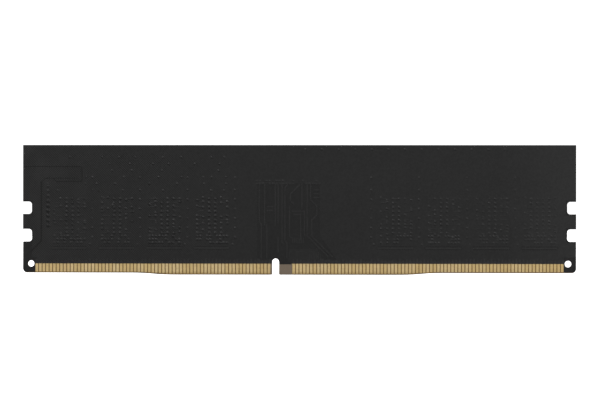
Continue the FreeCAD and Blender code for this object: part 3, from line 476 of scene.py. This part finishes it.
def rounded_copy(node, radius, material):
    """A copy of a CAD node with its edges rounded, in the node's place."""
    shape = bmesh.new()
    shape.from_mesh(NODES[node].data)
    bmesh.ops.remove_doubles(shape, verts=shape.verts, dist=SAME_POINT)
    bmesh.ops.dissolve_limit(shape, angle_limit=0.02, verts=shape.verts, edges=shape.edges)
    sharp = [e for e in shape.edges if e.is_manifold and e.calc_face_angle() > 0.5]
    bmesh.ops.bevel(
        shape,
        geom=sharp,
        offset=radius * MM,
        segments=2,
        profile=0.5,
        affect="EDGES",
        clamp_overlap=True,
    )
    mesh = bpy.data.meshes.new(f"{node}_rounded")
    shape.to_mesh(mesh)
    shape.free()
    tidy(mesh, 0.9)
    return new_piece(f"{node}_rounded", mesh, [material], [node])


def paint(material, *nodes):
    """Gives CAD nodes that stay a finished material."""
    for node in nodes:
        slots = NODES[node].material_slots
        for slot in slots:
            slot.material = material
        if not slots:
            raise RuntimeError(f"{node} has no material slot")


# ------------------------------------------------------------------------- relief under the mask
VIA_SIDES = 12


def outer_loops(node, level):
    """The boundary loops of a CAD node's flat face at that Y, as lists of X and Z."""
    shape = bmesh.new()
    shape.from_mesh(NODES[node].data)
    bmesh.ops.remove_doubles(shape, verts=shape.verts, dist=SAME_POINT)
    shape.faces.index_update()
    shape.verts.index_update()
    flat = {}  # keeps the faces in the mesh's own order, so that every run gives the same loops
    for face in shape.faces:
        if abs(face.normal.y) > 0.99 and abs(face.calc_center_median().y / MM - level) < 0.002:
            flat[face.index] = face
    following = {}
    for face in flat.values():
        for loop in face.loops:
            others = [f for f in loop.edge.link_faces if f is not face]
            if not any(f.index in flat for f in others):
                following[loop.vert.index] = loop.link_loop_next.vert.index
    shape.verts.ensure_lookup_table()
    loops = []
    while following:
        start, loop = next(iter(following)), []
        at = start
        while at in following:
            loop.append((shape.verts[at].co.x / MM, shape.verts[at].co.z / MM))
            at = following.pop(at)
        if len(loop) > 2:
            loops.append(loop)
    shape.free()
    return loops


def plate(name, loops, inner, outer, rim, grow=0.0):
    """A flat plate with holes and a rounded outer rim, from Y = inner to Y = outer."""
    outline = bpy.data.curves.new(name, "CURVE")
    outline.dimensions = "2D"
    outline.fill_mode = "BOTH"
    outline.extrude = (abs(outer - inner) / 2 - rim) * MM
    outline.bevel_depth = rim * MM
    outline.bevel_resolution = 2
    outline.offset = (grow - rim) * MM
    for loop in loops:
        spline = outline.splines.new("POLY")
        spline.points.add(len(loop) - 1)
        for point, (x, z) in zip(spline.points, loop):
            point.co = (x * MM, z * MM, 0.0, 1.0)
        spline.use_cyclic_u = True
    holder = bpy.data.objects.new(name, outline)
    bpy.context.scene.collection.objects.link(holder)
    mesh = bpy.data.meshes.new_from_object(holder)
    bpy.data.objects.remove(holder)
    middle = (inner + outer) / 2 * MM
    for vertex in mesh.vertices:
        x, z, depth = vertex.co
        vertex.co = (x, middle - depth, z)
    return mesh


def joined(name, parts):
    """One mesh from several, each with the number of its material."""
    whole = bmesh.new()
    for mesh, number in parts:
        before = len(whole.faces)
        whole.from_mesh(mesh)
        whole.faces.ensure_lookup_table()
        for face in whole.faces[before:]:
            face.material_index = number
    bmesh.ops.remove_doubles(whole, verts=whole.verts, dist=1e-8)
    mesh = bpy.data.meshes.new(name)
    whole.to_mesh(mesh)
    whole.free()
    tidy(mesh, 0.5)
    return mesh


def lengthened(route, extra):
    """The route with both ends moved outwards by extra."""
    ends = []
    for end, inner in ((route[0], route[1]), (route[-1], route[-2])):
        run = math.hypot(end[0] - inner[0], end[1] - inner[1])
        share = extra / run
        ends.append((end[0] + (end[0] - inner[0]) * share, end[1] + (end[1] - inner[1]) * share))
    return [ends[0], *route[1:-1], ends[1]]


def ridge(shells, route, width, low, high, slope=0.05, lean=0.3, shade=0):
    """A trace under the mask: a low ridge with rounded shoulders along a route of X and Z.

    lean is how far its shoulders are shaded to the side, and shade is the number of its material.
    """
    half, step = width / 2, (high - low)
    out = math.copysign(1.0, step)
    route = lengthened(route, half)
    profile = [
        (-half - slope, low, -lean),
        (-half, low + 0.7 * step, -lean),
        (-half + slope, high, -lean / 3),
        (half - slope, high, lean / 3),
        (half, low + 0.7 * step, lean),
        (half + slope, low, lean),
    ]
    rings, normals = [], []
    for index, (x, z) in enumerate(route):
        ahead = route[min(index + 1, len(route) - 1)]
        behind = route[max(index - 1, 0)]
        sides = []
        for start, end in ((behind, (x, z)), ((x, z), ahead)):
            run = math.hypot(end[0] - start[0], end[1] - start[1])
            if run > 1e-9:
                sides.append(Vector(((end[1] - start[1]) / run, -(end[0] - start[0]) / run)))
        across = sides[0] if len(sides) == 1 else (sides[0] + sides[1]).normalized()
        spread = 1.0 / max(across.dot(sides[0]), 0.5)
        rings.append(
            [(x + across.x * a * spread, y, z + across.y * a * spread) for a, y, _ in profile]
        )
        tilts = [Vector((across.x * tilt, out, across.y * tilt)) for _, _, tilt in profile]
        normals.append([tilt.normalized() for tilt in tilts])
    shells.loft(rings, [shade] * (len(rings) - 1), normals)


def via(shells, x, z, low, high, radius, long=1.0, lean=0.3):
    """A plugged hole under the mask: a low dome with a small dimple. Its shoulder is paler, partly
    thinner mask over the rim and partly a painted highlight, and its dimple is darker as painted
    shade.

    long stretches it along X, and lean is how far its shoulder is shaded to the side.
    """
    step = high - low
    out = math.copysign(1.0, step)
    profile = [
        (radius + 0.08, low, 1.3 * lean),
        (radius * 0.85, low + 0.5 * step, 1.7 * lean),
        (radius * 0.6, low + 0.9 * step, lean),
        (radius * 0.22, high, 0.0),
        (radius * 0.1, low + 0.85 * step, -0.2 * lean),
    ]
    rings, normals = [], []
    for reach, level, tilt in profile:
        ring, shading = [], []
        for side in range(VIA_SIDES):
            turn = 2 * math.pi * side / VIA_SIDES
            across, up = math.cos(turn), math.sin(turn)
            ring.append((x + reach * long * across, level, z + reach * up))
            shading.append(Vector((tilt * across, out, tilt * up)).normalized())
        rings.append(ring)
        normals.append(shading)
    # Shoulders in the paler mask, partly painted highlight; the dimple in the darker mask, painted
    # shade.
    shells.loft(rings, [0, 1, 1, 2], normals)


# ----------------------------------------------------------------------------------- back's face
# Single vias over the packages of the -X side, in rows with uneven gaps. The two lowest rows start
# further left than the others, under the tab.
SCATTER_FOOT, SCATTER_PITCH, SCATTER_ROWS = 20.3, 1.6, 6
SCATTER_LEFT, SCATTER_TOP_LEFT, SCATTER_RIGHT = -64.0, -58.5, -17.0
SCATTER_LOW_ROWS = 2
SCATTER_GAPS = (1.6, 7.4)  # the shortest and the widest
SCATTER_CLEAR = 0.9
# Ladders of vias, with one more over each and one to the side under it.
LADDER_FOOT, LADDER_PITCH, LADDER_COUNT = 9.0, 2.28, 6
LADDER_CROWN, LADDER_ROOT, LADDER_SHIFT = 23.4, 7.3, 0.6

# A few wider and shinier vias: X, Z and radius.
WIDE_VIAS = (
    (-44.8, 16.7, 0.45),
    (31.8, 7.7, 0.32),
    (37.1, 9.0, 0.4),
    (47.8, 9.0, 0.36),
    (60.2, 8.5, 0.36),
)

# The row along the top edge, the two rows over the window, and the column of the terminations.
TOP_ROW_LEFT, TOP_ROW_PITCH, TOP_ROW_Z = 1.6, 4.0, 30.2
WINDOW_ROW_LEFT, WINDOW_ROW_PITCH = -10.2, 0.8
COLUMN_X, COLUMN_FOOT, COLUMN_PITCH = -60.6, 11.9, 1.18

# The field of vias behind each package: its rows and its columns.
FIELD_ROWS, FIELD_TOP, FIELD_PITCH = 9, 18.3, 1.03
FIELD_LEFT, FIELD_STEP = -3.4, 1.45
COLUMN_SHARES = (0.65, 0.75, 0.97, 0.97, 0.75, 0.6)  # how full each column of a field is
FOOT_ROWS, FOOT_STEP = (9.3, 8.5, 7.7), 0.8
# Short traces between those columns: start, end and how often they are there.
FIELD_TRACES = ((-3.4, -1.9, 0.7), (-0.5, 0.8, 0.15), (2.2, 3.7, 0.7))

# The split of the pour near the -X end, as X and Z: round a tab, and down the terminations.
TAB_GAP = [
    (-66.3, 26.0),
    (-52.8, 26.0),
    (-52.4, 25.6),
    (-52.4, 22.8),
    (-52.8, 22.4),
    (-58.6, 22.4),
    (-59.4, 23.2),
    (-61.2, 23.2),
]
COLUMN_GAP = [(-62.25, 22.1), (-62.25, 8.1), (-65.0, 5.35)]
GAP_TRACES = ([(-61.75, 22.0), (-61.75, 11.9)], [(-52.65, 25.8), (-52.65, 23.4)])
# The two gaps beside the trace that runs below each package.
SLOT_HEIGHTS, SLOT_REACH = (6.72, 6.08), 4.1
# Rows of short strokes where traces fan out from the window: left end, foot and top of each row.
FANS = ((-1.5, 7.7, 8.9), (2.6, 3.6, 5.1))
FAN_STROKES, FAN_PITCH = 7, 0.42


def back_surface():
    """Mask of the back: a low sheet on the laminate, and raised plates where copper is under it."""
    sheet = plate(
        "back_sheet", outer_loops("solder_mask_back", MASK_BACK), BACK_FACE, OVER_LAMINATE, 0.006
    )
    copper = span("ground_pour_back")[0].y
    raised = [
        plate(name, outer_loops(node, copper), BACK_FACE, OVER_COPPER, rim, grow)
        for name, node, rim, grow in (
            ("back_pour", "ground_pour_back", 0.02, 0.02),
            ("back_necks", "contact_necks_back", 0.02, 0.02),
            ("back_traces", "command_traces_back", 0.03, 0.05),
        )
    ]
    pour, necks, traces = raised
    mesh = joined("solder_mask_back_relief", [(sheet, 0), (pour, 1), (necks, 2), (traces, 2)])
    finish = [MASK_LOW_AND_DIMPLE_SHADE, MASK_HIGH, MASK_TRACE]
    return new_piece("solder_mask_back_relief", mesh, finish, ["solder_mask_back"])


def pins():
    """X of every contact of one face."""
    outer = HALF_LENGTH - END_PIN
    short = [-outer + PITCH * n for n in range(PINS_SHORT)]
    return short + [outer - PITCH * n for n in range(PINS_LONG)]


def dome(x):
    """How far the shoulder of a via of the back is shaded to the side: more towards the -X end."""
    return 0.2 - 0.0014 * x


def back_ridges(draw):
    """Traces of the back: behind the packages, over the contacts, at the window and by the gap."""
    shells = Shells()
    for chip in CHIPS:
        lean = dome(chip.x)
        for row in range(FIELD_ROWS):
            z = FIELD_TOP - FIELD_PITCH * row
            for start, end, share in FIELD_TRACES:
                if draw.random() < share:
                    shift = draw.choice((-0.15, 0.0, 0.15))
                    route = [(chip.x + start, z), (chip.x + end, z + shift)]
                    ridge(shells, route, 0.16, OVER_COPPER, OVER_TRACE, lean=lean)
    for pin in pins():
        route = [(pin, CONTACT_TOP + 0.2), (pin, CONTACT_TOP + draw.uniform(0.5, 1.1))]
        ridge(shells, route, 0.4, OVER_LAMINATE, OVER_TRACE, slope=0.19, lean=0.2, shade=1)
    for left, foot, crown in FANS:
        for step in range(FAN_STROKES):
            x = left + FAN_PITCH * step
            route = [(x, foot), (x, crown + draw.uniform(-0.3, 0.3))]
            ridge(shells, route, 0.1, OVER_LAMINATE, OVER_TRACE, slope=0.03, lean=0.2, shade=1)
    bar = [(-0.6, 5.55), (1.1, 5.55)]
    ridge(shells, bar, 0.14, OVER_LAMINATE, OVER_TRACE, lean=0.2, shade=1)
    for route in GAP_TRACES:
        ridge(shells, route, 0.14, OVER_COPPER, OVER_VIA, lean=0.3)
    finish = [MASK_HIGH, MASK_TRACE]
    return new_piece("back_trace_relief", shells.mesh("back_trace_relief"), finish)


def back_gap():
    """Thin strips of darker mask in the pour's gap and in the slots below the packages, painted as
    the shade in those narrow recesses.
    """
    shells = Shells()
    strips = [(TAB_GAP, 0.2), ([TAB_GAP[-1], *COLUMN_GAP], 0.3)]
    for chip in CHIPS:
        for z in SLOT_HEIGHTS:
            strips.append(([(chip.x - SLOT_REACH, z), (chip.x + SLOT_REACH, z)], 0.14))
    for route, width in strips:
        ridge(shells, route, width, BACK_FACE, IN_GAP, slope=0.03, lean=0.0)
    return new_piece("back_gap_shade_strips", shells.mesh("back_gap_shade_strips"), [MASK_GAP_SHADE])


def field_vias(shells, chip, draw):
    """The vias behind one package: two full columns, looser ones beside them, three rows below."""
    places = []
    for column, share in enumerate(COLUMN_SHARES):
        x = FIELD_LEFT + FIELD_STEP * column
        for row in range(FIELD_ROWS):
            if draw.random() < share:
                shift = 0.0 if share > 0.9 else draw.choice((-0.3, 0.0, 0.0, 0.3))
                places.append((x, FIELD_TOP - FIELD_PITCH * row + shift))
    for z in FOOT_ROWS:
        for step in range(10):
            if draw.random() < 0.65:
                places.append((FIELD_LEFT + FOOT_STEP * step, z))
    radius = 0.31 if chip.x < 0 else 0.25
    for x, z in places:
        lean = dome(chip.x) * draw.uniform(0.6, 1.3)
        via(shells, chip.x + x, z, OVER_COPPER, OVER_VIA, radius, long=1.1, lean=lean)


def ladder_columns():
    """The X of each ladder: half a pitch beside a package."""
    half = (CHIPS[1].x - CHIPS[0].x) / 2
    inner = min(chip.x for chip in CHIPS if chip.x > 0)
    return [chip.x + half for chip in CHIPS[:-1]] + [inner - half]


def ladder_places():
    """The X and Z of the vias in the ladders, and over and under them."""
    places = []
    for x in ladder_columns():
        places += [(x, LADDER_FOOT + LADDER_PITCH * step) for step in range(LADDER_COUNT)]
        places.append((x, LADDER_CROWN))
        places.append((x + math.copysign(LADDER_SHIFT, x), LADDER_ROOT))
    return places


def scattered_places(draw):
    """The X and Z of the single vias, clear of the ladders and of the gap that splits the pour."""
    taken = ladder_columns() + [TAB_GAP[2][0], COLUMN_GAP[0][0]]
    places = []
    for row in range(SCATTER_ROWS):
        z = SCATTER_FOOT + SCATTER_PITCH * row
        x = SCATTER_LEFT if row < SCATTER_LOW_ROWS else SCATTER_TOP_LEFT
        while x < SCATTER_RIGHT:
            x += draw.uniform(*SCATTER_GAPS)
            if x < SCATTER_RIGHT and all(abs(x - other) > SCATTER_CLEAR for other in taken):
                places.append((x, z))
    return places


def back_vias(draw):
    """Vias of the back: fields behind the packages, rows and ladders, and single ones."""
    shells = Shells()
    for chip in CHIPS:
        field_vias(shells, chip, draw)
    places = scattered_places(draw) + ladder_places()
    places += [(TOP_ROW_LEFT + TOP_ROW_PITCH * step, TOP_ROW_Z) for step in range(16)]
    for x, z in places:
        lean = dome(x) * draw.uniform(0.5, 1.1)
        via(shells, x, z, OVER_COPPER, OVER_VIA, 0.26, lean=lean)
    for step in range(20):
        x = WINDOW_ROW_LEFT + WINDOW_ROW_PITCH * step
        for z, skip in ((22.65, 0.45), (21.95, 0.25)):
            if draw.random() > skip:
                lean = draw.uniform(0.04, 0.11)
                via(shells, x, z, OVER_COPPER, OVER_VIA, 0.2, long=1.5, lean=lean)
    for step in range(9):
        radius, lean = (0.48, 0.34) if step < 6 else (0.36, 0.24)
        z = COLUMN_FOOT + COLUMN_PITCH * step
        via(shells, COLUMN_X, z, OVER_COPPER, OVER_VIA, radius, lean=lean)
    for x, z, radius in WIDE_VIAS:
        via(shells, x, z, OVER_COPPER, OVER_VIA, radius, lean=0.16)
    # Via shoulders take the paler mask, partly painted highlight, and their dimples the darker mask
    # as painted shade.
    finish = [MASK_HIGH, MASK_RIM_AND_HIGHLIGHT, MASK_LOW_AND_DIMPLE_SHADE]
    return new_piece("back_via_relief", shells.mesh("back_via_relief"), finish)


# ---------------------------------------------------------------------------------- front's face
def front_relief(draw):
    """Traces and vias of the front, raised a little over its mask."""
    shells = Shells()
    low, high = MASK_FRONT - 0.004, MASK_FRONT + 0.014
    for chip in CHIPS:
        for centre in (chip.x - 1.7, chip.x + 1.7):
            near = sorted(pins(), key=lambda x: abs(x - centre))[:4]
            for number, pin in enumerate(sorted(near)):
                x = centre + (number - 1.5) * 0.5
                bend = 4.35 - abs(pin - x)
                ridge(shells, [(pin, 2.95), (pin, bend), (x, 4.35)], 0.13, low, high)
                above = 6.4 + 0.12 * number
                ridge(shells, [(x, 5.5), (x, above), (x, CHIP_LOW + 0.6)], 0.13, low, high)
        for side in (-1, 1):
            for row in range(-6, 7, 2):
                z = chip.z + 0.8 * row
                edge = chip.x + side * 3.75
                route = [(edge - side * 0.5, z), (edge + side * 0.25, z), (edge + side * 0.55, z)]
                ridge(shells, route, 0.13, low, high)
                via(shells, edge + side * 0.75, z, low, high, 0.24)
    for side in (-1, 1):
        for lane in range(7):
            z = 24.2 + 0.42 * lane
            start, end = 7.5 + 0.5 * lane, 58.0 + 0.42 * lane
            route = [(side * start, 20.6 - 0.3 * lane), (side * start, z - 0.4)]
            route += [(side * (start + 0.4), z), (side * end, z)]
            ridge(shells, route, 0.13, low, high)
            via(shells, side * (end + 0.2), z, low, high, 0.22)
    for step in range(33):
        via(shells, -63.5 + 4.0 * step - 0.1 * draw.random(), 30.2, low, high, 0.3)
    # Via shoulders take the paler mask, partly painted highlight, and their dimples the darker mask
    # as painted shade.
    finish = [MASK_HIGH, MASK_RIM_AND_HIGHLIGHT, MASK_LOW_AND_DIMPLE_SHADE]
    return new_piece("front_trace_relief", shells.mesh("front_trace_relief"), finish)


def dress_front():
    """Packages, passive parts and solder of the front."""
    for number in range(1, 9):
        paint(MOULD, f"memory_{number}_mould")
        paint(CARRIER, f"memory_{number}_carrier")
        paint(SILICON, f"memory_{number}_die")
        paint(SOLDER, f"memory_{number}_solder_balls")
    rounded_copy("detect_chip_body", 0.04, MOULD)
    paint(TIN, "detect_chip_leads")
    paint(SOLDER, "surface_mount_solder")
    for kind in ("bypass", "bulk"):
        rounded_copy(f"{kind}_capacitor_ceramics", 0.03, CAPACITOR)
        rounded_copy(f"{kind}_capacitor_end_caps", 0.05, TIN)
    rounded_copy("resistor_array_slabs", 0.02, ALUMINA)
    rounded_copy("resistor_array_glazes", 0.02, GLAZE)
    paint(TIN, "resistor_array_terminals")


def dress_board():
    """Laminae, copper, mask and contacts."""
    paint(LAMINATE, "laminate_back", "laminate_middle", "laminate_front")
    paint(COPPER, "ground_plane", "power_plane", "ground_pour_back", "command_traces_back")
    paint(COPPER, "contact_necks_back", "contact_necks_front")
    paint(MASK_HIGH, "solder_mask_front")
    for face in ("back", "front"):
        for row in ("minus", "plus"):
            rounded_copy(f"contacts_{face}_{row}", 0.02, GOLD)


# -------------------------------------------------------------------------------- light and camera
def background(surround):
    """White to the camera; dimmer to the object, so that its black mask stays black."""
    world = bpy.data.worlds.new("studio")
    bpy.context.scene.world = world
    world.use_nodes = True
    tree = world.node_tree
    tree.nodes.clear()
    path = tree.nodes.new("ShaderNodeLightPath")
    white = tree.nodes.new("ShaderNodeBackground")
    white.inputs["Color"].default_value = (1.0, 1.0, 1.0, 1.0)
    white.inputs["Strength"].default_value = 1.2
    grey = tree.nodes.new("ShaderNodeBackground")
    grey.inputs["Color"].default_value = (1.0, 1.0, 1.0, 1.0)
    grey.inputs["Strength"].default_value = surround
    mix = tree.nodes.new("ShaderNodeMixShader")
    out = tree.nodes.new("ShaderNodeOutputWorld")
    tree.links.new(path.outputs["Is Camera Ray"], mix.inputs[0])
    tree.links.new(grey.outputs[0], mix.inputs[1])
    tree.links.new(white.outputs[0], mix.inputs[2])
    tree.links.new(mix.outputs[0], out.inputs["Surface"])


def pale_floor():
    """A large plain floor under the card edge."""
    half = 4.0
    shape = bmesh.new()
    corners = [shape.verts.new((x, y, 0.0)) for x, y in ((-1, -1), (1, -1), (1, 1), (-1, 1))]
    for corner in corners:
        corner.co *= half
    shape.faces.new(corners)
    mesh = bpy.data.meshes.new("floor")
    shape.to_mesh(mesh)
    shape.free()
    floor = bpy.data.objects.new("floor", mesh)
    bpy.context.scene.collection.objects.link(floor)
    shader = Shader("floor_paper", Roughness=0.9)
    grain = shader.noise(3.0, detail=2.0)
    shader.colour(shader.mix(grain, (0.93, 0.93, 0.93), (0.95, 0.95, 0.95)))
    shader.surface.inputs["Emission Color"].default_value = (1.0, 1.0, 1.0, 1.0)
    shader.surface.inputs["Emission Strength"].default_value = 1.0
    mesh.materials.append(shader.material)
    floor.visible_diffuse = False
    floor.visible_glossy = False
    floor.visible_shadow = False


def soft_light(name, place, target, size, power):
    """A square softbox at a place in metres, turned to its target."""
    light = bpy.data.lights.new(name, "AREA")
    light.shape = "SQUARE"
    light.size = size
    light.energy = power
    holder = bpy.data.objects.new(name, light)
    bpy.context.scene.collection.objects.link(holder)
    holder.location = place
    holder.rotation_euler = (Vector(target) - Vector(place)).to_track_quat("-Z", "Y").to_euler()


def make_camera():
    """A long lens in front of the back face, a little to the right of square on."""
    camera = bpy.data.cameras.new("camera")
    camera.sensor_width = 36.0
    camera.lens = 298.75
    camera.clip_start = 0.05
    camera.shift_x = 0.0015
    camera.shift_y = 0.0040
    holder = bpy.data.objects.new("camera", camera)
    bpy.context.scene.collection.objects.link(holder)
    middle = Vector((0.0, 0.0, BOARD_TOP / 2 * MM))
    turn = math.radians(2.36)
    roll = math.radians(-0.05)
    away = 1.2
    holder.location = middle + away * Vector((math.sin(turn), -math.cos(turn), 0.0))
    holder.rotation_euler = (math.radians(90), roll, turn)
    bpy.context.scene.camera = holder


def studio():
    """The lights, the floor and the camera."""
    scene = bpy.context.scene
    scene.view_settings.view_transform = "Standard"
    scene.view_settings.look = "None"
    background(0.2)
    pale_floor()
    middle = (0.0, 0.0, BOARD_TOP / 2 * MM)
    soft_light("key", (-0.8, -2.1, 1.0), middle, 0.7, 25.0)
    soft_light("front", (0.5, -1.6, 0.25), middle, 0.9, 3.4)
    soft_light("side", (0.3, -0.2, 0.03), middle, 0.15, 0.42)
    for name, x in (("minus_end", -1.5), ("plus_end", 1.5)):
        soft_light(name, (x, 0.0, 0.5), middle, 0.7, 6.0)
    soft_light("rear_key", (0.8, 2.1, 1.0), middle, 0.7, 34.0)
    soft_light("rear_front", (-0.5, 1.6, 0.25), middle, 0.9, 6.0)
    make_camera()


# ------------------------------------------------------------------------------------------ build
dress_board()
dress_front()
pattern = random.Random(288)
back_surface()
back_ridges(pattern)
back_gap()
back_vias(pattern)
front_relief(pattern)
studio()
